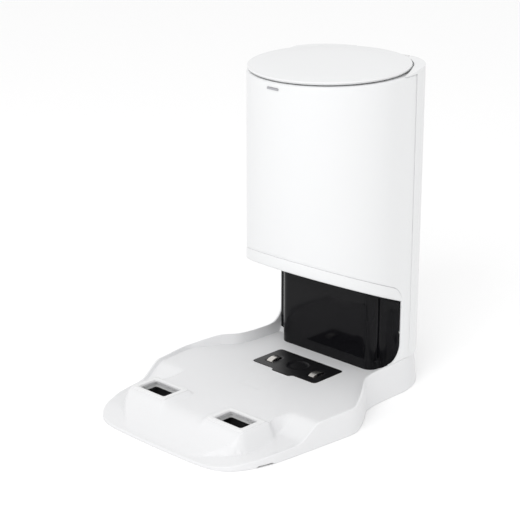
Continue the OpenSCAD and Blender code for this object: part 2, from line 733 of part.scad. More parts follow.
module duct_elbow() color("lightgray") difference() {
    union() {
        box(riser[1], bag_port_r + 5, elbow_y, riser[3], bag_port_z - 18, bag_port_z + 18);
        y_bar(0, bag_port_z, holder_y + 6.5, elbow_y + 1, bag_port_r + duct_wall);
    }
    box(riser[1] - 1, bag_port_r + 3, elbow_y + duct_wall, riser[3] - duct_wall,
        bag_port_z - 16, bag_port_z + 16);
    y_bar(0, bag_port_z, holder_y, elbow_y + duct_wall + 1, bag_port_r);
}

// ---- fan ----

module filter_frame() color("gray") translate([0, chamber_y, fan_top]) difference() {
    cylinder(r = 40, h = chamber_z - fan_top);
    translate([0, 0, -1]) cylinder(r = 35, h = 40);
}

module motor_filter() color("slategray") translate([0, chamber_y, fan_top + 4])
    cylinder(r = 35, h = 9);

module fan_housing() color("gray") translate([0, chamber_y, 0]) difference() {
    translate([0, 0, housing_z]) cylinder(r = housing_r, h = fan_top - housing_z);
    translate([0, 0, housing_z + 2]) cylinder(r = housing_r - 2.5, h = fan_top - housing_z - 4);
    cylinder(r = 20, h = dock_h);
    translate([-24, 20, housing_z + 4]) cube([48, housing_r, 18]);
}

module motor_cup() color("gray") translate([0, chamber_y, cup_z]) difference() {
    cylinder(r = cup_r, h = housing_z - cup_z);
    translate([0, 0, 2]) cylinder(r = cup_r - 2, h = 100);
    translate([0, 0, -1]) cylinder(r = 12, h = 5);
}

module fan_motor() color("darkgray") translate([0, chamber_y, cup_z + 4]) difference() {
    union() {
        cylinder(r = motor_r, h = motor_h - 3);
        translate([0, 0, motor_h - 3 - eps]) cylinder(r = 12, h = 3);
    }
    translate([0, 0, -1]) cylinder(r = shaft_r + running_gap, h = motor_h + 2);
}

module motor_mount(z) color("dimgray") translate([0, chamber_y, z]) difference() {
    cylinder(r = cup_r - 2, h = 7);
    translate([0, 0, -1]) cylinder(r = motor_r, h = 9);
}

module motor_shaft() color("silver") translate([0, chamber_y, cup_z + 3])
    cylinder(r = shaft_r, h = fan_top - cup_z - 12);

module impeller() color("silver") translate([0, chamber_y, housing_z + 5]) difference() {
    union() {
        cylinder(r = impeller_r, h = 1.5);
        cylinder(r = 8, h = 14);
        for (k = [0 : blades - 1]) rotate([0, 0, k * 360 / blades]) translate([7, -0.6, 1])
            rotate([0, 0, 25]) cube([impeller_r - 12, 1.2, 10]);
    }
    translate([0, 0, -1]) cylinder(r = shaft_r, h = 20);
}

module exhaust_duct() color("lightgray") difference() {
    box(-34, 34, chamber_y + housing_r, filter_y, cup_z - 2, cup_z + 62);
    box(-32, 32, chamber_y + housing_r - 1, filter_y + 1, cup_z, cup_z + 60);
}

filter_y = tower_rear - 17;

module exhaust_filter() color("honeydew")
    box(-34, 34, filter_y, tower_rear - shell_wall - 1.5, cup_z - 1, cup_z + 61);

module exhaust_grille() color("white") {
    difference() {
        union() {
            box(-32 + drop_gap, 32 - drop_gap, tower_rear - shell_wall - 1.5, tower_rear - 0.3,
                cup_z - 2 + drop_gap, cup_z + 62 - drop_gap);
            box(-32.4, 32.4, tower_rear - shell_wall - 1.5, tower_rear - shell_wall, cup_z - 5, cup_z + 65);
        }
        box(-29, 29, 0, rear_y, cup_z + 2, cup_z + 58);
    }
    for (k = [0 : 9]) box(-29, 29, tower_rear - shell_wall - 1.5, tower_rear - 0.3,
        cup_z + 4.6 + k * 5.4, cup_z + 6.8 + k * 5.4);
}

// ---- electrics ----

inlet_x = 19;
inlet_z = 66;
board_y = pillar_y + 12;

module main_board() color("darkgreen") box(-30, 60, board_y, board_y + 1.6, 56, 142);

module main_board_parts() color("dimgray") {
    box(-5, 15, board_y + 1.6, board_y + 4, 90, 110);
    box(30, 50, board_y + 1.6, board_y + 7, 62, 72);
    box(-26, -14, board_y + 1.6, board_y + 7, 118, 138);
    for (k = [0 : 3]) y_bar(24 + k * 9, 126, board_y + 1.6, board_y + 9, 3.5);
}

power_y = tower_rear - 12;

module power_board() color("darkgreen") box(-28, 60, power_y - 1.6, power_y, 84, 150);

module power_board_parts() color("gold") {
    box(-20, 8, power_y - 22, power_y - 1.6, 92, 116);
    y_bar(28, 104, power_y - 24, power_y - 1.6, 8);
    y_bar(50, 104, power_y - 24, power_y - 1.6, 8);
    box(-20, 40, power_y - 20, power_y - 1.6, 134, 138);
}

module power_inlet() color("dimgray") difference() {
    box(inlet_x - 13, inlet_x + 13, tower_rear - 22, tower_rear - 5, inlet_z - 10, inlet_z + 10);
    box(inlet_x - 10, inlet_x + 10, tower_rear - 19, tower_rear, inlet_z - 6, inlet_z + 6);
}

module inlet_pins() color("silver") for (s = [-1, 1])
    y_bar(inlet_x + s * 4.3, inlet_z, tower_rear - 19, tower_rear - 9, 1.2);

module indicator_lens() color("lightgray") box(-9.2, 9.2, tower_front + 0.2, tower_front + shell_wall + 1,
    bar_z, bar_z + 2.4);

module indicator_board() color("darkgreen")
    box(-14, 14, tower_front + shell_wall + 1, tower_front + shell_wall + 2.6, bar_z - 8, bar_z + 5);

base_cover();
base_plate();
rubber_feet();
base_screws();
port_frame(-1);  // port_frame_left
port_frame(1);  // port_frame_right
port_seal(-1);  // port_seal_left
port_seal(1);  // port_seal_right
duct_tray();
duct_cover();
riser_duct();
duct_elbow();
charging_plate();
contact_bracket(-1);  // contact_bracket_left
contact_bracket(1);  // contact_bracket_right
contact_leaf(-1);  // contact_leaf_left
contact_leaf(1);  // contact_leaf_right
contact_spring(-1);  // contact_spring_left
contact_spring(1);  // contact_spring_right
tower_shell();
rear_cover();
rear_screws();
chin_panel();
inner_frame();
sensor_window();
sensor_board();
sensor_leds();
top_deck();
bag_chamber();
bag_holder();
bag_collar();
dust_bag();
bag_port_seal();
filter_frame();
motor_filter();
fan_housing();
motor_cup();
fan_motor();
motor_mount(cup_z + 7);  // motor_mount_lower
motor_mount(cup_z + motor_h - 9);  // motor_mount_upper
motor_shaft();
impeller();
exhaust_duct();
exhaust_filter();
exhaust_grille();
main_board();
main_board_parts();
power_board();
power_board_parts();
power_inlet();
inlet_pins();
indicator_lens();
indicator_board();
lid_top();
lid_liner();
lid_gasket();
lid_hinge_arms();
lid_screws();
hinge_brackets();
hinge_pins();
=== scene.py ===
import bpy, bmesh, json, math
import numpy as np
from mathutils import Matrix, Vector, geometry


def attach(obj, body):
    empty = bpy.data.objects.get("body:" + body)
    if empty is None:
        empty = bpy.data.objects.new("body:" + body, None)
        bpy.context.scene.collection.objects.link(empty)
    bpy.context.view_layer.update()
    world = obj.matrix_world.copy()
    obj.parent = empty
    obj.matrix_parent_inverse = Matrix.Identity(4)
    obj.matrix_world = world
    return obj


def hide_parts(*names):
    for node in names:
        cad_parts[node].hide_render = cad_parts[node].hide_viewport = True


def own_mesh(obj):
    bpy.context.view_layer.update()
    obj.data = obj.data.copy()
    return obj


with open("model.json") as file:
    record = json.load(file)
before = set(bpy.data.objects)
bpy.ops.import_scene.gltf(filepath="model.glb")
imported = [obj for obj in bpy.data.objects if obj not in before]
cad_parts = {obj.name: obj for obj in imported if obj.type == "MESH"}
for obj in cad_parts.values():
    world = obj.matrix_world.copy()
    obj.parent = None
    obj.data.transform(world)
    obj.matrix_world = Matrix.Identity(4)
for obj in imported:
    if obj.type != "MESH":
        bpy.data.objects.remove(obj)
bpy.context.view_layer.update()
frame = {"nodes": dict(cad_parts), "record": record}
mm = 0.001
print("frame loaded")

# sizes that several pieces share, in mm
dock = {
    "halfWidth": 151, "frontY": -211, "rearY": 211, "footHalf": 112.5, "footCorner": 85,
    "towerR": 107.5, "towerY": 104, "towerRear": 209.5, "towerCorner": 75, "seamY": 146,
    "footZ": 44, "chinZ": 178.6, "chinFall": 0.4, "chinBand": 16.9, "pillarY": 127.5,
    "hingeY": 207.5, "hingeZ": 424.04, "lidTilt": math.radians(1.4), "chamberY": 98,
}


# helpers for meshes
def smoothStep(a, b, t):
    k = min(1, max(0, (t - a) / (b - a)))
    return k * k * (3 - 2 * k)


def softLine(points, t, spread):  # a line through (place, height) pairs with its corners rounded off
    xs, zs = zip(*points)
    return float(np.interp([t + spread * k / 3 for k in range(-3, 4)], xs, zs).mean())


def makePiece(name, verts, faces):
    mesh = bpy.data.meshes.new(name)
    mesh.from_pydata([Vector(v) * mm for v in verts], [], faces)
    piece = bpy.data.objects.new(name, mesh)
    bpy.context.scene.collection.objects.link(piece)
    return tidyMesh(piece)


def tidyMesh(piece, angle=35):
    work = bmesh.new()
    work.from_mesh(piece.data)
    bmesh.ops.remove_doubles(work, verts=work.verts, dist=0.00001)
    bmesh.ops.recalc_face_normals(work, faces=work.faces)
    work.to_mesh(piece.data)
    work.free()
    piece.data.shade_smooth()
    piece.data.set_sharp_from_angle(angle=math.radians(angle))
    return piece


def loft(rings, loop=False, closed=True, caps=False):
    count = len(rings[0])
    verts = [p for ring in rings for p in ring]
    faces = []
    for r in range(len(rings) if loop else len(rings) - 1):
        a, b = r * count, ((r + 1) % len(rings)) * count
        for k in range(count if closed else count - 1):
            n = (k + 1) % count
            faces.append((a + k, a + n, b + n, b + k))
    if caps:
        faces.append(tuple(range(count))[::-1])
        faces.append(tuple((len(rings) - 1) * count + k for k in range(count)))
    return verts, faces


def joined(name, *parts):
    verts, faces = [], []
    for partVerts, partFaces in parts:
        start = len(verts)
        verts += list(partVerts)
        faces += [tuple(start + k for k in face) for face in partFaces]
    return makePiece(name, verts, faces)


def bakeModifiers(piece):
    graph = bpy.context.evaluated_depsgraph_get()
    mesh = bpy.data.meshes.new_from_object(piece.evaluated_get(graph))
    piece.modifiers.clear()
    piece.data = mesh
    return piece


def finishMesh(piece, wall, bevel=None):
    solid = piece.modifiers.new("Wall", "SOLIDIFY")
    solid.thickness = wall * mm
    solid.offset = -1
    solid.use_even_offset = True
    if bevel:
        edge = piece.modifiers.new("Edge", "BEVEL")
        edge.width = bevel * mm
        edge.segments = 2
        edge.limit_method = "ANGLE"
        edge.angle_limit = math.radians(50)
        edge.harden_normals = False
    bakeModifiers(piece)
    piece.data.shade_smooth()
    piece.data.set_sharp_from_angle(angle=math.radians(40))
    return piece


def place(piece, body, slot, material, *nodes):
    piece.data.materials.clear()
    piece.data.materials.append(material)
    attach(piece, body)
    if nodes:
        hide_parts(*nodes)
    return piece


def insideLoop(points, ring):
    ring = np.array(ring)
    inside = np.zeros(len(points), bool)
    for (x0, y0), (x1, y1) in zip(ring, np.roll(ring, -1, axis=0)):
        if y0 != y1:
            crosses = (points[:, 1] < y0) != (points[:, 1] < y1)
            reach = x0 + (x1 - x0) * (points[:, 1] - y0) / (y1 - y0)
            inside ^= crosses & (points[:, 0] < reach)
    return inside


def ringDistance(points, ring, closed=True):
    ring = np.array(ring)
    ends = np.roll(ring, -1, axis=0) if closed else ring[1:]
    starts = ring if closed else ring[:-1]
    best = np.full(len(points), 1e9)
    for a, b in zip(starts, ends):
        way = b - a
        size = max(1e-9, way @ way)
        k = np.clip(((points - a) @ way) / size, 0, 1)
        best = np.minimum(best, np.hypot(*(points - a - k[:, None] * way).T))
    return best


def skin(outline, holes, step, lines=(), rings=()):  # flat triangles, with rows along lines and rings
    clear = step * 0.45
    low, high = np.min(outline, axis=0), np.max(outline, axis=0)
    xs = np.arange(low[0] + step / 2, high[0], step)
    ys = np.arange(low[1] + step / 2, high[1], step)
    grid = np.array([(x, y) for x in xs for y in ys])
    grid = grid[insideLoop(grid, outline)]
    for ring in (outline, *holes, *rings):
        grid = grid[ringDistance(grid, ring) > clear]
    for line in lines:
        grid = grid[ringDistance(grid, line, closed=False) > clear]
    points, edges = [], []
    for ring in (outline, *holes, *rings):
        start = len(points)
        points += [tuple(p) for p in ring]
        edges += [(start + k, start + (k + 1) % len(ring)) for k in range(len(ring))]
    for line in lines:
        start = len(points)
        points += [tuple(p) for p in line]
        edges += [(start + k, start + k + 1) for k in range(len(line) - 1)]
    points += [tuple(p) for p in grid]
    flat, _, faces, *_ = geometry.delaunay_2d_cdt([Vector(p) for p in points], edges, [], 0, 1e-4)
    flat = np.array([tuple(p) for p in flat])
    centres = np.array([flat[list(face)].mean(axis=0) for face in faces])
    keep = insideLoop(centres, outline)
    for hole in holes:
        keep &= ~insideLoop(centres, hole)
    return flat, [tuple(face) for face, kept in zip(faces, keep) if kept]


def roundedRing(cx, cy, w, l, r, z=None):
    ring, arc = [], 6
    for sx, sy, start in ((1, -1, -90), (1, 1, 0), (-1, 1, 90), (-1, -1, 180)):
        for k in range(arc + 1):
            a = math.radians(start + 90 * k / arc)
            x = cx + sx * (w / 2 - r) + r * math.cos(a)
            y = cy + sy * (l / 2 - r) + r * math.sin(a)
            ring.append((x, y) if z is None else (x, y, z))
    return ring


def evenRing(points, step):  # the same closed line with points at even distances
    points = np.array(points)
    points = np.vstack([points, points[:1]])
    along = np.concatenate([[0], np.cumsum(np.hypot(*np.diff(points, axis=0).T))])
    count = max(2, round(along[-1] / step))
    places = np.linspace(0, along[-1], count + 1)[:-1]
    return np.column_stack([np.interp(places, along, points[:, k]) for k in (0, 1)])


# camera, light and floor
view = {"place": (1.3414, -1.4076, 0.8547), "azimuth": 44.129, "elevation": 18.902,
        "lens": 112.22, "sensor": 36}
key = {"azimuth": 22, "elevation": 38, "distance": 2.6, "size": 1.5, "power": 22, "target": (0, 0.05, 0.2)}
room = {"strength": 0.97, "floorReach": 14, "floorShade": 0.97, "floorRoughness": 0.9}


def aimAt(thing, azimuth, elevation):
    a, e = math.radians(azimuth), math.radians(elevation)
    way = Vector((-math.sin(a) * math.cos(e), math.cos(a) * math.cos(e), -math.sin(e)))
    thing.rotation_euler = way.to_track_quat("-Z", "Y").to_euler()


def studio():
    camera = bpy.data.objects.new("camera", bpy.data.cameras.new("camera"))
    camera.location = view["place"]
    camera.data.lens = view["lens"]
    camera.data.sensor_width = view["sensor"]
    aimAt(camera, view["azimuth"], view["elevation"])
    bpy.context.scene.collection.objects.link(camera)
    bpy.context.scene.camera = camera

    lamp = bpy.data.lights.new("key", "AREA")
    lamp.energy = key["power"]
    lamp.size = key["size"]
    light = bpy.data.objects.new("key", lamp)
    a, e = math.radians(key["azimuth"]), math.radians(key["elevation"])
    way = Vector((math.sin(a) * math.cos(e), -math.cos(a) * math.cos(e), math.sin(e)))
    light.location = Vector(key["target"]) + way * key["distance"]
    aimAt(light, key["azimuth"], key["elevation"])
    bpy.context.scene.collection.objects.link(light)

    world = bpy.data.worlds.new("room")
    world.use_nodes = True
    sky = world.node_tree.nodes["Background"]
    sky.inputs["Color"].default_value = (1, 1, 1, 1)
    sky.inputs["Strength"].default_value = room["strength"]
    bpy.context.scene.world = world
    bpy.context.scene.view_settings.view_transform = "Standard"

    reach, shade = room["floorReach"], room["floorShade"]
    ground = bpy.data.meshes.new("ground")
    corners = [(-reach, -reach, 0), (reach, -reach, 0), (reach, reach, 0), (-reach, reach, 0)]
    ground.from_pydata(corners, [], [(0, 1, 2, 3)])
    floor = bpy.data.objects.new("ground", ground)
    bpy.context.scene.collection.objects.link(floor)
    paper = bpy.data.materials.new("paleFloor")
    paper.use_nodes = True
    shader = paper.node_tree.nodes["Principled BSDF"]
    shader.inputs["Base Color"].default_value = (shade, shade, shade, 1)
    shader.inputs["Roughness"].default_value = room["floorRoughness"]
    ground.materials.append(paper)


studio()
print("camera, light and floor made")


# node groups that the finishes share
def newGroup(name, inputs, outputs):
    tree = bpy.data.node_groups.new(name, "ShaderNodeTree")
    for name, value in inputs.items():
        socket = tree.interface.new_socket(name, in_out="INPUT", socket_type="NodeSocketFloat")
        socket.default_value = value
    for socket in outputs:
        tree.interface.new_socket(socket, in_out="OUTPUT", socket_type="NodeSocketFloat")
    source, sink = tree.nodes.new("NodeGroupInput"), tree.nodes.new("NodeGroupOutput")
    return tree, source, sink


def node(tree, kind, values=None, **settings):
    made = tree.nodes.new(kind)
    for key, value in settings.items():
        setattr(made, key, value)
    for key, value in (values or {}).items():
        made.inputs[key].default_value = value
    return made


def makeGrain():  # fine moulded texture and slow unevenness, in metres
    tree, source, sink = newGroup("surfaceGrain", {"Size": 0.0008, "Patch": 0.05}, ("Height", "Unevenness"))
    where = node(tree, "ShaderNodeTexCoord")
    for output, socket, detail in (("Height", "Size", 3), ("Unevenness", "Patch", 2)):
        turn = node(tree, "ShaderNodeMath", {0: 1}, operation="DIVIDE")
        tree.links.new(source.outputs[socket], turn.inputs[1])
        cloud = node(tree, "ShaderNodeTexNoise", {"Detail": detail, "Roughness": 0.55})
        tree.links.new(where.outputs["Object"], cloud.inputs["Vector"])
        tree.links.new(turn.outputs[0], cloud.inputs["Scale"])
        tree.links.new(cloud.outputs[0], sink.inputs[output])
    return tree


def makeEdgeWear():  # 1 on rubbed outer edges, 0 elsewhere
    tree, source, sink = newGroup("edgeWear", {"Low": 0.52, "High": 0.6}, ("Mask",))
    shape = node(tree, "ShaderNodeNewGeometry")
    span = node(tree, "ShaderNodeMapRange")
    tree.links.new(shape.outputs["Pointiness"], span.inputs["Value"])
    tree.links.new(source.outputs["Low"], span.inputs["From Min"])
    tree.links.new(source.outputs["High"], span.inputs["From Max"])
    cloud = node(tree, "ShaderNodeTexNoise", {"Scale": 140, "Detail": 3})
    where = node(tree, "ShaderNodeTexCoord")
    tree.links.new(where.outputs["Object"], cloud.inputs["Vector"])
    both = node(tree, "ShaderNodeMath", operation="MULTIPLY")
    tree.links.new(span.outputs["Result"], both.inputs[0])
    tree.links.new(cloud.outputs[0], both.inputs[1])
    tree.links.new(both.outputs[0], sink.inputs["Mask"])
    return tree


def makeSettledDust():  # 1 on level faces that dust settles on, broken up
    tree, source, sink = newGroup("settledDust", {"Level": 0.7, "Scatter": 60}, ("Mask",))
    shape = node(tree, "ShaderNodeNewGeometry")
    parts = node(tree, "ShaderNodeSeparateXYZ")
    tree.links.new(shape.outputs["Normal"], parts.inputs[0])
    span = node(tree, "ShaderNodeMapRange", {"From Max": 1})
    tree.links.new(parts.outputs["Z"], span.inputs["Value"])
    tree.links.new(source.outputs["Level"], span.inputs["From Min"])
    where = node(tree, "ShaderNodeTexCoord")
    cloud = node(tree, "ShaderNodeTexNoise", {"Detail": 6, "Roughness": 0.7})
    tree.links.new(where.outputs["Object"], cloud.inputs["Vector"])
    tree.links.new(source.outputs["Scatter"], cloud.inputs["Scale"])
    both = node(tree, "ShaderNodeMath", operation="MULTIPLY")
    tree.links.new(span.outputs["Result"], both.inputs[0])
    tree.links.new(cloud.outputs[0], both.inputs[1])
    tree.links.new(both.outputs[0], sink.inputs["Mask"])
    return tree


effects = {"grain": makeGrain(), "wear": makeEdgeWear(), "dust": makeSettledDust()}
dustColour = (0.55, 0.53, 0.5)
glossSpread = 0.04


def finish(name, colour, roughness=0.4, grain=0.0008, bump=0.05, patch=0.05, uneven=0.03, wear=0.0,
           dust=0.0, metallic=0.0, coat=0.0, sheen=0.0, specular=0.5):
    material = bpy.data.materials.new(name)
    material.use_nodes = True
    tree = material.node_tree
    shader = tree.nodes["Principled BSDF"]
    shader.inputs["Metallic"].default_value = metallic
    shader.inputs["Coat Weight"].default_value = coat
    shader.inputs["Coat Roughness"].default_value = 0.08
    shader.inputs["Sheen Weight"].default_value = sheen
    shader.inputs["Specular IOR Level"].default_value = specular
    surface = node(tree, "ShaderNodeGroup", node_tree=effects["grain"])
    surface.inputs["Size"].default_value = grain
    surface.inputs["Patch"].default_value = patch
    tint = node(tree, "ShaderNodeMix", data_type="RGBA")
    tint.inputs["A"].default_value = (*[c * (1 - uneven) for c in colour], 1)
    tint.inputs["B"].default_value = (*[min(1, c * (1 + uneven)) for c in colour], 1)
    tree.links.new(surface.outputs["Unevenness"], tint.inputs["Factor"])
    top = tint
    for amount, effect, shade in ((wear, "wear", 1.35), (dust, "dust", 1.0)):
        if amount:
            mask = node(tree, "ShaderNodeGroup", node_tree=effects[effect])
            part = node(tree, "ShaderNodeMath", {1: amount}, operation="MULTIPLY")
            tree.links.new(mask.outputs["Mask"], part.inputs[0])
            over = node(tree, "ShaderNodeMix", data_type="RGBA")
            light = [min(0.95, c * shade + 0.05) for c in colour] if effect == "wear" else dustColour
            over.inputs["B"].default_value = (*light, 1)
            tree.links.new(part.outputs[0], over.inputs["Factor"])
            tree.links.new(top.outputs["Result"], over.inputs["A"])
            top = over
    tree.links.new(top.outputs["Result"], shader.inputs["Base Color"])
    glossRange = {"To Min": roughness - glossSpread, "To Max": roughness + glossSpread}
    gloss = node(tree, "ShaderNodeMapRange", glossRange)
    tree.links.new(surface.outputs["Unevenness"], gloss.inputs["Value"])
    tree.links.new(gloss.outputs["Result"], shader.inputs["Roughness"])
    relief = node(tree, "ShaderNodeBump", {"Strength": bump, "Distance": grain})
    tree.links.new(surface.outputs["Height"], relief.inputs["Height"])
    tree.links.new(relief.outputs["Normal"], shader.inputs["Normal"])
    return material


# one finish for each slot of the record
finishes = {
    "shell_white": finish("shellWhite", (0.74, 0.745, 0.75), 0.36, 0.0006, 0.03, 0.08, 0.008, wear=0.1),
    "base_white": finish("baseWhite", (0.72, 0.722, 0.73), 0.46, 0.0009, 0.10, 0.06, 0.01, wear=0.1,
        dust=0.02),
    "inner_white": finish("innerWhite", (0.70, 0.70, 0.70), 0.5, 0.001, 0.12, 0.05, 0.015, wear=0.1),
    "frame_grey": finish("frameWhite", (0.73, 0.732, 0.735), 0.42, 0.0007, 0.06, 0.02, 0.01, wear=0.15),
    "seal_grey": finish("sealRubber", (0.5, 0.5, 0.51), 0.75, 0.0005, 0.25, 0.01, 0.06, dust=0.1),
    "window_black": finish("windowBlack", (0.004, 0.004, 0.005), 0.09, 0.002, 0.006, 0.06, 0.2,
        specular=0.14),
    "plate_black": finish("plateBlack", (0.006, 0.006, 0.007), 0.34, 0.0006, 0.10, 0.02, 0.12, wear=0.1,
        specular=0.3),
    "bracket_black": finish("bracketBlack", (0.03, 0.03, 0.032), 0.55, 0.0009, 0.2, 0.02, 0.12, wear=0.4),
    "contact_metal": finish("contactPlating", (0.62, 0.60, 0.57), 0.3, 0.0003, 0.15, 0.004, 0.08,
        wear=0.3, metallic=1),
    "spring_steel": finish("springSteel", (0.5, 0.5, 0.52), 0.28, 0.0003, 0.1, 0.003, 0.1, metallic=1),
    "screw_steel": finish("screwSteel", (0.5, 0.5, 0.51), 0.32, 0.0003, 0.2, 0.003, 0.12, wear=0.4,
        metallic=1),
    "foot_rubber": finish("footRubber", (0.06, 0.06, 0.062), 0.85, 0.0007, 0.5, 0.01, 0.12, dust=0.2),
    "duct_grey": finish("ductGrey", (0.012, 0.012, 0.013), 0.6, 0.001, 0.25, 0.03, 0.1, wear=0.1,
        dust=0.02),
    "board_green": finish("boardGreen", (0.012, 0.11, 0.045), 0.35, 0.0012, 0.35, 0.006, 0.25, coat=0.3),
    "part_black": finish("partBlack", (0.018, 0.018, 0.02), 0.42, 0.0006, 0.2, 0.008, 0.2, wear=0.3),
    "coil_copper": finish("coilCopper", (0.55, 0.2, 0.07), 0.35, 0.0004, 0.5, 0.003, 0.2, metallic=1),
    "bag_fleece": finish("bagFleece", (0.75, 0.73, 0.68), 0.95, 0.0012, 0.9, 0.02, 0.06, sheen=0.4,
        dust=0.15),
    "collar_card": finish("collarCard", (0.42, 0.29, 0.17), 0.85, 0.0007, 0.5, 0.006, 0.1, wear=0.4),
    "gasket_grey": finish("gasketGrey", (0.10, 0.10, 0.105), 0.8, 0.0006, 0.4, 0.01, 0.08),
    "filter_foam": finish("filterFoam", (0.07, 0.075, 0.085), 0.95, 0.0016, 1.0, 0.006, 0.3, dust=0.3),
    "filter_paper": finish("filterPaper", (0.72, 0.73, 0.66), 0.9, 0.0008, 0.6, 0.01, 0.06, dust=0.2),
    "motor_steel": finish("motorSteel", (0.42, 0.42, 0.43), 0.36, 0.0005, 0.2, 0.01, 0.08, wear=0.3,
        metallic=1),
    "shaft_steel": finish("shaftSteel", (0.6, 0.6, 0.61), 0.2, 0.0003, 0.1, 0.004, 0.06, metallic=1),
    "mount_rubber": finish("mountRubber", (0.04, 0.04, 0.042), 0.85, 0.0007, 0.5, 0.008, 0.12),
    "pin_brass": finish("pinBrass", (0.62, 0.46, 0.2), 0.28, 0.0003, 0.15, 0.003, 0.1, metallic=1),
    "lens_diffuser": finish("lensDiffuser", (0.36, 0.36, 0.38), 0.3, 0.0005, 0.08, 0.004, 0.06),
}
for part in frame["record"]["subparts"]:
    cadNode = frame["nodes"][part["node"]]
    cadNode.data.materials.clear()
    cadNode.data.materials.append(finishes[part["material_slot"]])
print("finishes made")


# base cover: one moulded skin with ramp, wheel tracks, rim and foot of the tower, in mm
cover = {
    "grid": 3.0, "wall": 2.6, "edgeRound": 1.2, "rimTop": 2.6, "rimFoot": 4.4, "sideDraft": 1.0,
    "footDraft": 4.2,
    "rim": [(0, 4), (20, 5), (60, 11.5), (105, 13), (113, 15), (138, 33), (205, 35), (242, 44)],
    "ramp": [(3, 3.8), (8, 5), (24, 12), (38, 21), (48, 27.2), (58, 30)],
    "track": [(3, 3.8), (10, 5), (36, 9.5), (110, 12), (118, 12.8), (140, 29), (146, 30)],
    "border": [(0, 26), (4, 48), (12, 64), (24, 78), (40, 95), (50, 100), (100, 100), (108, 93), (118, 93)],
    "portBump": 4.4, "bumpReach": (13, 4),
    "channel": (-46, 13, 19.5, 0.5), "draftFrom": 20, "draftTo": 95, "planStep": 3.2, "holeStep": 3,
    "wallRows": 9,
    "insets": (0.15, 0.5, 1.2), "rimEnd": 139, "floorGap": 0.3, "notch": (-164, -144, 100, 2.4),
    # places on the side, as (in from the widest, back from the front) and then (out from the foot, back)
    "side": [(91, 1.2), (59, 5), (38, 16), (24, 36), (14, 66), (8.5, 106), (4, 151), (0, 195), (5.5, 215),
             (20, 241)],
    "footSide": [(5, 261), (1, 279), (0, 301)],
}
ports = {"x": 68, "y": -137, "w": 47, "l": 30, "flange": 7, "corner": 3, "cut": 5.6,
         "frame": [(61, 43, 3.5, 29.9), (61, 43, 3.5, 34.7), (60.6, 42.6, 3.3, 35.2), (59.6, 41.6, 3, 35.5),
                   (50.2, 33.2, 3, 35.5), (48.6, 31.6, 3, 35.25), (47.5, 30.5, 3, 34.5), (47, 30, 3, 33.4),
                   (46.6, 29.6, 3, 25.5), (49, 32, 3, 24.8), (51.8, 34.8, 3, 26.4)],
         "lips": ((31.2, 3.4), (32.6, 2.2)), "lipW": 46.6, "lipL": 29.6, "lipCorner": 2.6}
plate = {"y": 46, "w": 112.6, "l": 56.8, "tabHalf": 16.5, "tabOut": 5, "top": 30.6, "wall": 2.6, "gap": 0.3,
         "radii": [5, 5, 5, 5, 2, 3, 3, 2], "dishY": 48, "dishR": 15, "dishFlat": 12.5, "dishDeep": 1.2,
         "contactX": 37.5, "contactY": 41, "slotW": 11, "slotL": 23, "slotCorner": 1.2, "lineStep": 2,
         "grid": 2.5, "edgeFall": 0.5, "edgeReach": 0.6, "slotFall": 0.4, "slotReach": 1.2}


def footprint():
    half, front, foot = dock["halfWidth"], dock["frontY"], dock["footHalf"]
    side = [(0, front), *((half - x, front + y) for x, y in cover["side"])]
    side += [(foot + x, front + y) for x, y in cover["footSide"]]
    ends = [side[0], *side, side[-1]]
    line = []
    for a, b, c, d in zip(ends, ends[1:], ends[2:], ends[3:]):
        a, b, c, d = (Vector(p) for p in (a, b, c, d))
        for t in (0, 0.25, 0.5, 0.75):
            line.append(tuple((2 * b + (c - a) * t + (2 * a - 5 * b + 4 * c - d) * t * t
                               + (3 * b - a - 3 * c + d) * t ** 3) / 2))
    line.append(side[-1])
    middle, r = foot - dock["footCorner"], dock["footCorner"]
    line += [(middle + r * math.cos(math.radians(a)), dock["rearY"] - r + r * math.sin(math.radians(a)))
             for a in range(0, 91, 4)]
    return evenRing(line + [(-x, y) for x, y in line[:0:-1]], cover["planStep"])


def inward(ring, amounts):
    way = np.roll(ring, -1, axis=0) - np.roll(ring, 1, axis=0)
    way /= np.hypot(*way.T)[:, None]
    return ring + np.column_stack([-way[:, 1], way[:, 0]]) * np.asarray(amounts)[:, None]


def coverHeight(x, y, edge):  # edge is the distance in from the side
    s = y - dock["frontY"]
    border = softLine(cover["border"], s, 4)
    side = smoothStep(border, border + 4 + 5 * smoothStep(16, 50, s), abs(x))
    ramp = softLine(cover["ramp"], s, 5)
    track = softLine(cover["track"], s, 4)
    z = ramp + (track - ramp) * side
    y0, y1, half, deep = cover["channel"]
    ends = smoothStep(y0, y0 + 2, y) * (1 - smoothStep(y1 - 2, y1, y))
    z -= deep * ends * (1 - smoothStep(half - 1.5, half, abs(x)))
    outX = max(0, abs(abs(x) - ports["x"]) - ports["w"] / 2 - ports["flange"])
    outY = max(0, abs(y - ports["y"]) - ports["l"] / 2 - ports["flange"])
    reach = cover["bumpReach"][0 if y < ports["y"] else 1]
    z += cover["portBump"] * (1 - smoothStep(0, 1, math.hypot(outX / 9, outY / reach))) * (1 - side)
    foot = smoothStep(dock["pillarY"] - 6, dock["pillarY"] + 1, y)
    z += (dock["footZ"] - z) * foot
    rim = softLine(cover["rim"], s, 5)
    z += (max(z, rim) - z) * (1 - smoothStep(cover["rimTop"], cover["rimFoot"], edge))
    r = cover["edgeRound"]
    if edge < r:
        z -= r - math.sqrt(max(0, r * r - (r - edge) ** 2))
    return z


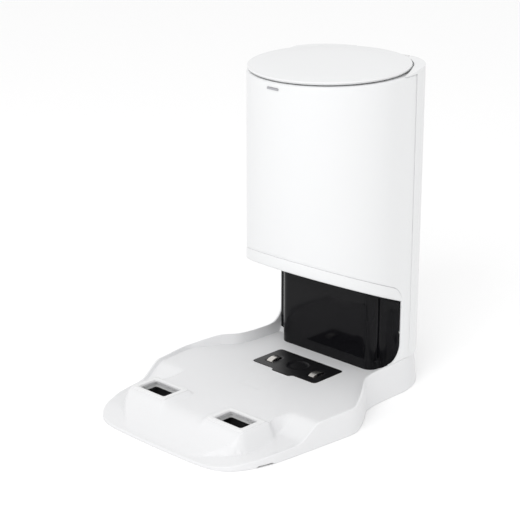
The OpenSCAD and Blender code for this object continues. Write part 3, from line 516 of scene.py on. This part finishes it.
def baseCover():
    ring = footprint()
    more = cover["footDraft"] - cover["sideDraft"]
    draft = [cover["sideDraft"] + more * smoothStep(cover["draftFrom"], cover["draftTo"], y) for _, y in ring]
    tops = [coverHeight(x, y, 0) + cover["edgeRound"] for x, y in ring]
    lean = [d * z / dock["footZ"] for d, z in zip(draft, tops)]
    outline = inward(ring, lean)
    rings = [inward(outline, [k] * len(ring)) for k in (*cover["insets"], cover["rimTop"], cover["rimFoot"])]
    w, l = ports["w"] + ports["cut"], ports["l"] + ports["cut"]
    holes = [roundedRing(s * ports["x"], ports["y"], w, l, ports["corner"]) for s in (-1, 1)]
    holes.append(platePlan(plate["gap"]))
    holes = [evenRing(hole, cover["holeStep"]) for hole in holes]
    lines = []
    for s in (-1, 1):
        for out in (0.2, 3.6):
            along = np.arange(8, cover["rimEnd"], cover["grid"])
            places = [(s * (softLine(cover["border"], t, 4) + out), t + dock["frontY"]) for t in along]
            lines.append(np.array(places))
    flat, faces = skin(outline, holes, cover["grid"], lines, rings)
    edge = ringDistance(flat, outline)
    verts = [(x, y, coverHeight(x, y, e)) for (x, y), e in zip(flat, edge)]
    rows, last = [], cover["wallRows"] - 1
    y0, y1, out, notchTop = cover["notch"]
    for k in range(cover["wallRows"]):  # outer wall from the rounded top edge down to the floor
        down = k / last
        row = []
        for (x, y), d, top in zip(ring, draft, tops):
            bottom = notchTop if y0 < y < y1 and abs(x) > out else cover["floorGap"]
            z = bottom + (top - cover["edgeRound"] - bottom) * (1 - down)
            row.append((z, d * (z + cover["edgeRound"] if k else top) / dock["footZ"]))
        places = inward(ring, [lean for _, lean in row])
        rows.append([(x, y, z) for (x, y), (z, _) in zip(places, row)])
    wall = loft(rows)
    piece = joined("base_cover_skin", (verts, faces), wall)
    return finishMesh(piece, wall=cover["wall"])


def platePlan(gap=0.0):
    half, back = plate["w"] / 2 + gap, plate["y"] + plate["l"] / 2 + gap
    front = plate["y"] - plate["l"] / 2 - gap
    tab, out = plate["tabHalf"] + gap, front - plate["tabOut"]
    corners = [(half, front), (half, back), (-half, back), (-half, front),
               (-tab, front), (-tab, out), (tab, out), (tab, front)]
    ring = []
    for k, (corner, r) in enumerate(zip(corners, plate["radii"])):
        here = Vector(corner)
        before = (Vector(corners[k - 1]) - here).normalized()
        after = (Vector(corners[(k + 1) % len(corners)]) - here).normalized()
        middle = here + (before + after) * r
        a0 = math.atan2(-after.y, -after.x)
        turn = 1 if before.cross(after) < 0 else -1
        for step in range(6):
            a = a0 + turn * math.radians(90) * step / 5
            ring.append((middle.x + r * math.cos(a), middle.y + r * math.sin(a)))
    return ring


place(baseCover(), "dock", "base_white", finishes["base_white"], "base_cover")
print("base cover made")


# tower: front shell, chin and window
tower = {"wall": 2.4, "draft": 0.8, "shoulder": 3, "topBelowHinge": 0.4, "step": 5, "seamRound": 16,
         "footFlare": 24, "seamGap": 0.35, "barHalf": 9.4, "barZ": (409.4, 412.3), "barCorner": 1.1, "bevel": 0.5,
         "insets": (0.15, 0.5, 1.1, 2.0, 3.0)}
chin = {"wall": 1.2, "endGap": 0.4, "fullBand": 8,
        # (in from the face, 1 at the upper edge or 0 at the lower, up from that edge)
        "profile": [(3, 1, 0), (0.7, 1, 0), (0.15, 1, -0.5), (0, 1, -1.0), (0, 0, 3.0), (0.3, 0, 1.7),
                    (0.9, 0, 0.8), (1.7, 0, 0.25), (2.8, 0, 0), (6, 0, 0)]}
window = {"faceY": 100.5, "half": 80, "bend": 12, "flareX": 24.3, "flareY": 14.6, "low": 29.8, "topGap": 0.8,
          "rows": 6, "wall": 2.2, "bevel": 0.5}
frontArc = dock["towerR"] * math.pi / 2
sideEnd = frontArc + dock["towerRear"] - dock["towerCorner"] - dock["towerY"]
seamTurn = math.asin((dock["seamY"] - dock["towerRear"] + dock["towerCorner"]) / dock["towerCorner"])
seamT = sideEnd + dock["towerCorner"] * seamTurn


def towerPlace(t, inset=0.0):  # t runs along the plan from the middle of the front, to the right above 0
    a, side, r = abs(t), math.copysign(1, t), dock["towerR"]
    if a < frontArc:
        nx, ny = math.sin(a / r), -math.cos(a / r)
        x, y = r * nx, dock["towerY"] + r * ny
    elif a < sideEnd:
        nx, ny, x, y = 1, 0, r, dock["towerY"] + a - frontArc
    else:
        turn = (a - sideEnd) / dock["towerCorner"]
        nx, ny = math.cos(turn), math.sin(turn)
        x = r - dock["towerCorner"] + dock["towerCorner"] * nx
        y = dock["towerRear"] - dock["towerCorner"] + dock["towerCorner"] * ny
    return side * (x - inset * nx), y - inset * ny


def alongFor(y):  # t of the right side at a place front to back
    if y < dock["towerY"]:
        return dock["towerR"] * math.acos((dock["towerY"] - y) / dock["towerR"])
    return frontArc + y - dock["towerY"]


def towerTop(y):
    return dock["hingeZ"] - tower["topBelowHinge"] + (y - dock["hingeY"]) * math.tan(dock["lidTilt"])


def chinUnder(y):
    return dock["chinZ"] - dock["chinFall"] * (y - dock["towerY"] + dock["towerR"])


def seamHeight(y):  # lower edge of the shell, rounded down where it meets the pillar
    r = tower["seamRound"]
    over = min(r, max(0, y - dock["pillarY"] + r))
    return chinUnder(y) + dock["chinBand"] - (r - math.sqrt(r * r - over * over))


def onTower(t, z):
    y = towerPlace(t)[1]
    r = tower["shoulder"]
    below = min(r, towerTop(y) - z)
    lean = tower["draft"] * (z - dock["footZ"]) / (dock["hingeZ"] - dock["footZ"])
    rounding = r - math.sqrt(max(0, r * r - (r - below) ** 2))
    return (*towerPlace(t, lean + rounding), z)


def towerShell():
    pillar, flare = dock["pillarY"], tower["footFlare"]
    floor = dock["footZ"] + 0.1
    right = [(t, towerTop(towerPlace(t)[1])) for t in np.arange(0, seamT, 4)]
    right += [(seamT, z) for z in np.linspace(towerTop(dock["seamY"]), floor, 80)]
    fillet = [(pillar - flare + flare * math.cos(a), floor + flare - flare * math.sin(a))
              for a in np.linspace(math.pi / 2, 0, 10)]
    right += [(alongFor(y), z) for y, z in fillet]
    right += [(alongFor(pillar), z) for z in np.linspace(floor + flare + 4, seamHeight(pillar) - 1, 14)]
    r = tower["seamRound"]
    arc = [pillar - r + r * math.cos(a) for a in np.linspace(0, math.pi / 2, 9)]
    right += [(alongFor(y), seamHeight(y)) for y in arc]
    right += [(t, seamHeight(towerPlace(t)[1])) for t in np.arange(alongFor(arc[-1]) - 4, 1, -4)]
    outline = right + [(-t, z) for t, z in right[:0:-1]]
    low, high = tower["barZ"]
    slot = roundedRing(0, (low + high) / 2, 2 * tower["barHalf"], high - low, tower["barCorner"])
    rows = [[(t, towerTop(towerPlace(t)[1]) - down) for t in np.arange(-seamT + 1, seamT, 4)]
            for down in tower["insets"]]
    flat, faces = skin(outline, [slot], tower["step"], rows)
    verts = [onTower(t, z) for t, z in flat]
    return finishMesh(makePiece("tower_shell_skin", verts, faces), wall=tower["wall"], bevel=tower["bevel"])


def chinPanel():
    last = alongFor(dock["pillarY"] - chin["endGap"])
    places = np.concatenate([np.linspace(-last, -last + 12, 12), np.arange(-last + 15, last - 14, 4),
                             np.linspace(last - 12, last, 12)])
    rings = []
    for inset, atTop, shift in chin["profile"]:
        ring = []
        for t in places:
            y = towerPlace(t)[1]
            top, under = seamHeight(y) - tower["seamGap"], chinUnder(y)
            z = top if atTop else under
            band = max(0.05, top - under)
            ring.append((*towerPlace(t, inset), z + shift * min(1, band / chin["fullBand"])))
        rings.append(ring)
    verts, faces = loft(rings, closed=False)
    faces.append(tuple((len(rings) - 1) * len(places) + k for k in range(len(places))))
    return finishMesh(makePiece("chin_panel_skin", verts, faces), wall=chin["wall"])


def sensorWindow():
    face, half, r, low = window["faceY"], window["half"], window["bend"], window["low"]
    bend, flare = np.linspace(0.1, math.pi / 2, 12), np.linspace(0.1, math.pi / 2, 14)
    flareX, flareY = window["flareX"], window["flareY"]
    right = [(x, face) for x in np.linspace(0, half - r, 12)]
    right += [(half - r + r * math.sin(a), face + r - r * math.cos(a)) for a in bend]
    right += [(half + flareX * (1 - math.cos(a)), face + r + flareY * math.sin(a)) for a in flare]
    line = [(-x, y) for x, y in right[:0:-1]] + right
    rings = [[(x, y, low + (chinUnder(y) - window["topGap"] - low) * k / window["rows"]) for x, y in line]
             for k in range(window["rows"] + 1)]
    piece = makePiece("sensor_window_skin", *loft(rings, closed=False))
    return finishMesh(piece, wall=window["wall"], bevel=window["bevel"])


place(towerShell(), "dock", "shell_white", finishes["shell_white"], "tower_shell")
place(chinPanel(), "dock", "shell_white", finishes["shell_white"], "chin_panel")
place(sensorWindow(), "dock", "window_black", finishes["window_black"], "sensor_window")
print("tower shell, chin and window made")


# lid, turned from (radius, height) pairs
lid = {"y": 101.5, "z": 1.0, "turns": 160,
       "profile": [(0.01, 0), (97, 0), (101.2, 0.3), (103.2, 1.5), (104.2, 2.3), (104.5, 2.7), (104.1, 2.8),
                   (104.1, 3.05), (104.5, 3.15), (104.5, 4.0), (104.36, 4.5), (103.9, 4.85), (103.2, 5.0),
                   (101.5, 4.98), (101.1, 4.9), (100.7, 4.98), (60, 5.0), (0.01, 5.0)]}


def onLidSlope(x, y, z):  # place on the lid in the dock's frame, y and z measured from the hinge axis
    c, s = math.cos(dock["lidTilt"]), math.sin(dock["lidTilt"])
    return x, dock["hingeY"] + y * c - z * s, dock["hingeZ"] + y * s + z * c


def lidTop():
    angles = [math.tau * k / lid["turns"] for k in range(lid["turns"])]
    back = lid["y"] - dock["hingeY"]
    rings = [[onLidSlope(r * math.cos(a), back + r * math.sin(a), lid["z"] + z) for a in angles]
             for r, z in lid["profile"]]
    return makePiece("lid_top_disc", *loft(rings, caps=True))


place(lidTop(), "lid", "shell_white", finishes["shell_white"], "lid_top")
print("lid made")


# suction ports: hard frames and the soft lips inside them
def portFrame(side, name):
    rings = [roundedRing(side * ports["x"], ports["y"], w, l, r, z) for w, l, r, z in ports["frame"]]
    return makePiece(name, *loft(rings, loop=True))


def portSeal(side, name):
    lips, w, l, r = [], ports["lipW"], ports["lipL"], ports["lipCorner"]
    for z, reach in ports["lips"]:
        section = [(0, z), (0, z + 0.9), (reach, z + 0.5), (reach, z + 0.15)]
        rings = [roundedRing(side * ports["x"], ports["y"], w - cut, l - cut, r, h) for cut, h in section]
        lips.append(loft(rings, loop=True))
    return joined(name, *lips)


for side, hand in ((-1, "left"), (1, "right")):
    frameRim = portFrame(side, "port_frame_rim_" + hand)
    place(frameRim, "dock", "frame_grey", finishes["frame_grey"], "port_frame_" + hand)
    sealLips = portSeal(side, "port_seal_lips_" + hand)
    place(sealLips, "dock", "seal_grey", finishes["seal_grey"], "port_seal_" + hand)
print("suction ports made")


# charging plate and its contacts
leaf = {"length": 20, "width": 8.8, "rise": 3, "thick": 0.7, "fingers": 5, "gap": 0.55, "slit": 0.45,
        "rows": 20, "stem": [(2, 33.0), (2, 26.6), (3.3, 26.6), (3.3, 25.4)], "stemTurns": 24}


def chargingPlate():
    def slotRings(more, corner):
        return [evenRing(roundedRing(s * plate["contactX"], plate["contactY"], plate["slotW"] + more,
                                     plate["slotL"] + more, corner), plate["lineStep"]) for s in (-1, 1)]

    outline = evenRing(platePlan(-0.1), plate["lineStep"])
    holes, around = slotRings(0, plate["slotCorner"]), slotRings(2 * plate["slotReach"], 2)
    dish = [[(r * math.cos(a), plate["dishY"] + r * math.sin(a)) for a in np.linspace(0, math.tau, 49)[:-1]]
            for r in (plate["dishR"], 14, plate["dishFlat"])]
    inner = [inward(outline, [k] * len(outline)) for k in (0.2, plate["edgeReach"])]
    flat, faces = skin(outline, holes, plate["grid"], rings=[*inner, *around, *dish])
    edge = ringDistance(flat, outline)
    slots = np.minimum(ringDistance(flat, holes[0]), ringDistance(flat, holes[1]))
    verts = []
    for (x, y), e, slot in zip(flat, edge, slots):
        out = math.hypot(x, y - plate["dishY"])
        dip = plate["dishDeep"] * (1 - smoothStep(plate["dishFlat"], plate["dishR"], out))
        fall = plate["edgeFall"] * (1 - smoothStep(0, plate["edgeReach"], e))
        slotFall = plate["slotFall"] * (1 - smoothStep(0, plate["slotReach"], slot))
        verts.append((x, y, plate["top"] - dip - fall - slotFall))
    return finishMesh(makePiece("charging_plate_skin", verts, faces), wall=plate["wall"])


def contactLeaf(side, name):
    half, rise = leaf["length"] / 2, leaf["rise"]
    curve = (half * half + rise * rise) / (2 * rise)
    cx, cy, top = side * plate["contactX"], plate["contactY"], plate["top"] + rise
    wide, pitch = leaf["width"] / 2, leaf["width"] / leaf["fingers"]
    split = half * (1 - 2 * leaf["slit"])

    def arched(x0, x1, y0, y1, rows):
        rings = []
        for y in np.linspace(y0, y1, rows):
            z = top - curve + math.sqrt(curve * curve - y * y)
            low = z - leaf["thick"]
            rings.append([(x0, y, z - 0.12), (x0 + 0.14, y, z), (x1 - 0.14, y, z), (x1, y, z - 0.12),
                          (x1, y, low + 0.1), (x1 - 0.12, y, low), (x0 + 0.12, y, low), (x0, y, low + 0.1)])
        return loft([[(cx + x, cy + y, z) for x, y, z in ring] for ring in rings], caps=True)

    parts = [arched(-wide, wide, -half, split, leaf["rows"])]
    for k in range(leaf["fingers"]):
        x0 = -wide + k * pitch + leaf["gap"] / 2
        parts.append(arched(x0, x0 + pitch - leaf["gap"], split - 0.4, half, leaf["rows"] // 2))
    turns = np.linspace(0, math.tau, leaf["stemTurns"] + 1)[:-1]
    rings = [[(cx + r * math.cos(a), cy + r * math.sin(a), z) for a in turns] for r, z in leaf["stem"]]
    parts.append(loft(rings[::-1], caps=True))
    return joined(name, *parts)


spring = {"r": 2.7, "wire": 0.5, "low": 7.5, "high": 25.4, "turns": 6, "steps": 20, "travel": 2.5}


def contactSpring(side, name):
    cx, cy, count = side * plate["contactX"], plate["contactY"], spring["turns"] * spring["steps"]
    low, high = spring["low"] + spring["wire"], spring["high"] - spring["wire"] - 0.02
    rings = []
    for k in range(count + 1):
        a = math.tau * k / spring["steps"]
        z = low + (high - low) * (0.12 * k / count + 0.88 * smoothStep(0.04, 0.96, k / count))
        ring = []
        for b in (math.tau * i / 8 for i in range(8)):
            r = spring["r"] + spring["wire"] * math.cos(b)
            ring.append((cx + r * math.cos(a), cy + r * math.sin(a), z + spring["wire"] * math.sin(b)))
        rings.append(ring)
    return makePiece(name, *loft(rings, caps=True))


place(chargingPlate(), "dock", "plate_black", finishes["plate_black"], "charging_plate")
for side, hand in ((-1, "left"), (1, "right")):
    comb = contactLeaf(side, "contact_comb_" + hand)
    place(comb, "contact_" + hand, "contact_metal", finishes["contact_metal"], "contact_leaf_" + hand)
    coil = contactSpring(side, "contact_coil_" + hand)
    place(coil, "dock", "spring_steel", finishes["spring_steel"], "contact_spring_" + hand)
    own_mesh(coil)
print("charging plate and contacts made")


# screws, instanced by one tree
screw = {"headR": 3.4, "headH": 1.8, "shankR": 1.5, "shankH": 4.5, "edge": 0.5, "turns": 32,
         "crossHalf": 0.42, "crossLong": 1.9, "crossDeep": 0.9, "crossTaper": 0.85}


def screwHead():
    a, b, head, turns = screw["crossHalf"], screw["crossLong"], screw["headR"], screw["turns"]
    cross = [(a, -b), (a, -a), (b, -a), (b, a), (a, a), (a, b),
             (-a, b), (-a, a), (-b, a), (-b, -a), (-a, -a), (-a, -b)]
    circle = [(math.cos(k * math.tau / turns), math.sin(k * math.tau / turns)) for k in range(turns)]
    flatR = head - screw["edge"]
    rim = [(x * flatR, y * flatR) for x, y in circle]
    flat, faces = skin(rim, [cross], 1.0)
    top = ([(x, y, 0) for x, y in flat], faces)
    depths = ((1, 0), (screw["crossTaper"], -screw["crossDeep"]))
    recess = loft([[(x * k, y * k, z) for x, y in cross] for k, z in depths])
    recess[1].append(tuple(range(len(cross), 2 * len(cross))))
    outer = [(flatR, 0), (head - 0.12, -0.15), (head, -screw["edge"]), (head, -screw["headH"]),
             (screw["shankR"], -screw["headH"]), (screw["shankR"], -screw["headH"] - screw["shankH"])]
    rings = [[(r * x, r * y, z) for x, y in circle] for r, z in outer]
    body = loft(rings)
    body[1].append(tuple((len(rings) - 1) * turns + k for k in range(turns)))
    return joined("screwPattern", top, recess, body)


def placedCopies():  # instances of a pattern on the points of a mesh, made real
    tree = bpy.data.node_groups.new("placedCopies", "GeometryNodeTree")
    tree.interface.new_socket("Places", in_out="INPUT", socket_type="NodeSocketGeometry")
    tree.interface.new_socket("Pattern", in_out="INPUT", socket_type="NodeSocketObject")
    tree.interface.new_socket("Turn", in_out="INPUT", socket_type="NodeSocketVector")
    tree.interface.new_socket("Finish", in_out="INPUT", socket_type="NodeSocketMaterial")
    tree.interface.new_socket("Geometry", in_out="OUTPUT", socket_type="NodeSocketGeometry")
    source, sink = tree.nodes.new("NodeGroupInput"), tree.nodes.new("NodeGroupOutput")
    points = tree.nodes.new("GeometryNodeMeshToPoints")
    info = tree.nodes.new("GeometryNodeObjectInfo")
    copies = tree.nodes.new("GeometryNodeInstanceOnPoints")
    real = tree.nodes.new("GeometryNodeRealizeInstances")
    coat = tree.nodes.new("GeometryNodeSetMaterial")
    tree.links.new(source.outputs["Places"], points.inputs["Mesh"])
    tree.links.new(source.outputs["Pattern"], info.inputs["Object"])
    tree.links.new(points.outputs[0], copies.inputs["Points"])
    tree.links.new(info.outputs["Geometry"], copies.inputs["Instance"])
    tree.links.new(source.outputs["Turn"], copies.inputs["Rotation"])
    tree.links.new(copies.outputs[0], real.inputs[0])
    tree.links.new(real.outputs[0], coat.inputs["Geometry"])
    tree.links.new(source.outputs["Finish"], coat.inputs["Material"])
    tree.links.new(coat.outputs[0], sink.inputs[0])
    return tree


def copiesAt(name, tree, pattern, points, turn, material):
    mesh = bpy.data.meshes.new(name)
    mesh.from_pydata([Vector(p) * mm for p in points], [], [])
    piece = bpy.data.objects.new(name, mesh)
    bpy.context.scene.collection.objects.link(piece)
    maker = piece.modifiers.new("Copies", "NODES")
    maker.node_group = tree
    values = {"Pattern": pattern, "Turn": [math.radians(a) for a in turn], "Finish": material}
    for item in tree.interface.items_tree:
        if item.in_out == "INPUT" and item.name in values:
            maker[item.identifier] = values[item.name]
    bakeModifiers(piece)
    piece.data.shade_smooth()
    piece.data.set_sharp_from_angle(angle=math.radians(35))
    return piece


copies = placedCopies()
pattern = screwHead()
basePlaces = [(s * x, y, 0.7) for s in (-1, 1) for x, y in ((60, -171), (125, -40), (97.5, 80), (92, 148))]
rearPlaces = [(s * 82, 157.8, z) for s in (-1, 1) for z in (60, 210, 360)]
lidPlaces = [onLidSlope(64 * math.cos(a), dock["chamberY"] - dock["hingeY"] + 64 * math.sin(a), -3.8)
             for a in (math.radians(45 + 90 * k) for k in range(4))]
for body, nodeName, points, turn in (("dock", "base_screws", basePlaces, (180, 0, 0)),
                                     ("dock", "rear_screws", rearPlaces, (-90, 0, 0)),
                                     ("lid", "lid_screws", lidPlaces, (181.4, 0, 0))):
    made = copiesAt(nodeName + "_cross", copies, pattern, points, turn, finishes["screw_steel"])
    place(made, body, "screw_steel", finishes["screw_steel"], nodeName)
bpy.data.objects.remove(pattern)
print("screws made")


# dust bag: a fleece bag swollen by cloth pressure, then its welded seam
bag = {"r": 57, "low": 267, "high": 385, "neckR": 13, "neckZ": 330, "neckEnd": 164, "voxel": 5, "pressure": 4,
       "frames": 20, "cap": 5, "limitR": 61.5, "limitLow": 262.5, "limitHigh": 389.5, "seamOut": 1.8,
       "ripple": 0.5, "folds": 9, "foldLean": 90, "neckFrom": 50}


def bagStart():
    rings, around = [], [math.tau * i / 64 for i in range(64)]
    middle, half = (bag["low"] + bag["high"]) / 2, (bag["high"] - bag["low"]) / 2
    for k in range(25):
        u = -1 + 2 * k / 24
        r = bag["r"] * max(0.02, (1 - abs(u) ** 4.5)) ** 0.5
        rings.append([(r * math.cos(a) * (1 + 0.03 * math.cos(3 * a + 2 * u)), dock["chamberY"] + r * math.sin(a),
                       middle + half * u + 2.5 * math.sin(2 * a) * u) for a in around])
    r, turns = bag["neckR"], [math.tau * i / 24 for i in range(24)]
    neck = [[(r * math.cos(a), y, bag["neckZ"] + r * math.sin(a)) for a in turns]
            for y in np.linspace(dock["chamberY"] + 40, bag["neckEnd"], 6)]
    piece = joined("dust_bag_cloth", loft(rings, caps=True), loft(neck, caps=True))
    whole = piece.modifiers.new("Whole", "REMESH")
    whole.mode = "VOXEL"
    whole.voxel_size = bag["voxel"] * mm
    return bakeModifiers(piece)


def swell(piece):
    start = [v.co.copy() for v in piece.data.vertices]
    cloth = piece.modifiers.new("Swell", "CLOTH")
    cloth.settings.use_pressure = True
    cloth.settings.uniform_pressure_force = bag["pressure"]
    cloth.settings.effector_weights.gravity = 0
    cloth.point_cache.frame_start, cloth.point_cache.frame_end = 1, bag["frames"]
    for step in range(1, bag["frames"] + 1):
        bpy.context.scene.frame_set(step)
    bakeModifiers(piece)
    for vertex, before in zip(piece.data.vertices, start):
        move = vertex.co - before
        if move.length > bag["cap"] * mm:
            vertex.co = before + move.normalized() * bag["cap"] * mm
    bpy.context.scene.frame_set(1)


def dustBag():
    piece = bagStart()
    swell(piece)
    soft = piece.modifiers.new("Soft", "SUBSURF")
    soft.levels = soft.render_levels = 1
    bakeModifiers(piece)
    axis = Vector((0, dock["chamberY"], 0)) * mm
    neckFrom = (dock["chamberY"] + bag["neckFrom"]) * mm
    for vertex in piece.data.vertices:
        flat = Vector((vertex.co.x, vertex.co.y - axis.y, 0))
        turn = bag["folds"] * math.atan2(flat.y, flat.x)
        ripple = bag["ripple"] * mm * math.sin(turn + vertex.co.z * bag["foldLean"])
        if vertex.co.y < neckFrom:
            vertex.co += flat.normalized() * ripple
        if flat.length > bag["limitR"] * mm and vertex.co.y < neckFrom:
            vertex.co -= flat.normalized() * (flat.length - bag["limitR"] * mm)
        vertex.co.y = min(vertex.co.y, bag["neckEnd"] * mm)
        vertex.co.z = min(bag["limitHigh"] * mm, max(bag["limitLow"] * mm, vertex.co.z))
    return piece


def bagSeam(cloth):  # flat welded strip up both sides and over the top
    rings, edge = [], bag["seamOut"]
    section = ((-1.5, -0.5), (edge - 0.4, -0.4), (edge, 0), (edge - 0.4, 0.4), (-1.5, 0.5))
    middle = (bag["low"] + bag["high"]) / 2 * mm
    points = [v.co for v in cloth.data.vertices if abs(v.co.y - dock["chamberY"] * mm) < 4 * mm]
    for k in range(72):
        a = math.tau * k / 72
        way = Vector((math.cos(a), 0, math.sin(a)))
        near = [p for p in points if Vector((p.x, 0, p.z - middle)).normalized().dot(way) > 0.995]
        reach = max((Vector((p.x, 0, p.z - middle)).length for p in near), default=bag["r"] * mm) / mm
        rings.append([((reach + out) * way.x, dock["chamberY"] + y, middle / mm + (reach + out) * way.z)
                      for out, y in section])
    verts, faces = loft(rings, loop=True)
    keep = [(x, y, min(bag["limitHigh"] + 0.4, max(bag["limitLow"] - 0.4, z))) for x, y, z in verts]
    return makePiece("dust_bag_seam", keep, faces)


cloth = dustBag()
place(bagSeam(cloth), "dock", "bag_fleece", finishes["bag_fleece"])
place(tidyMesh(cloth, angle=80), "dock", "bag_fleece", finishes["bag_fleece"], "dust_bag")
print("dust bag made")
